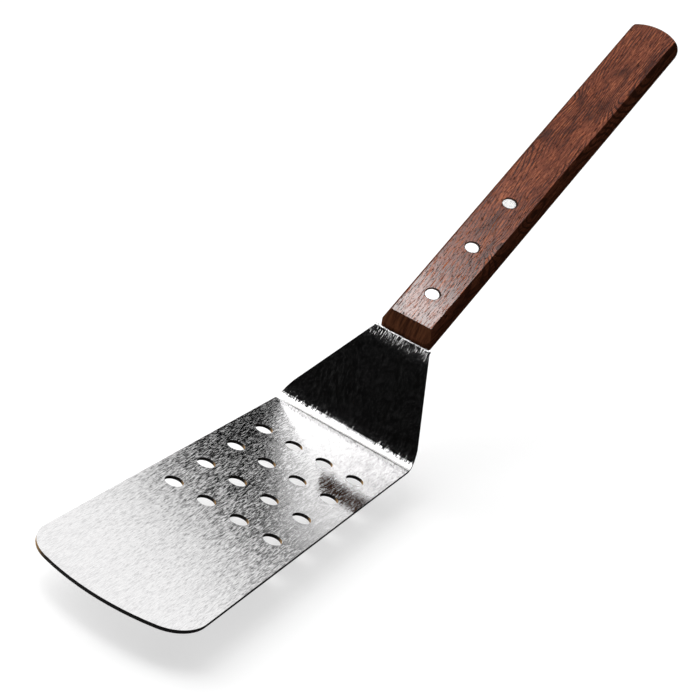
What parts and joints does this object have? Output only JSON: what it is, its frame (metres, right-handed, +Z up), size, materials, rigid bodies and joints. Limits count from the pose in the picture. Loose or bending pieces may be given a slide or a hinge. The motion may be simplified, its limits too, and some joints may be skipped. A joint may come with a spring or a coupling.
{
  "type": "perforated spatula",
  "caption": "Long-handled turner: a flat perforated steel blade bent up into a tapered neck, its tang held by flush rivets in a slim wooden handle with a round end.",
  "frame": {"origin": "middle of the blade's flat underside, on the centreline, halfway between the lower bend and the tip", "axes": "+X along the blade to the tip, +Y across the blade, +Z up from the blade's underside; the handle rises to the rear, towards -X"},
  "size_m": [0.4815, 0.0716, 0.1803],
  "materials": {
    "steel": "satin",
    "wood": "satin",
    "rivet": "polished"
  },
  "bodies": {
    "root": {"blade": "steel", "handle": "wood", "rivet_upper_1": "rivet", "rivet_upper_2": "rivet", "rivet_upper_3": "rivet", "rivet_lower_1": "rivet", "rivet_lower_2": "rivet", "rivet_lower_3": "rivet"}
  },
  "joints": []
}
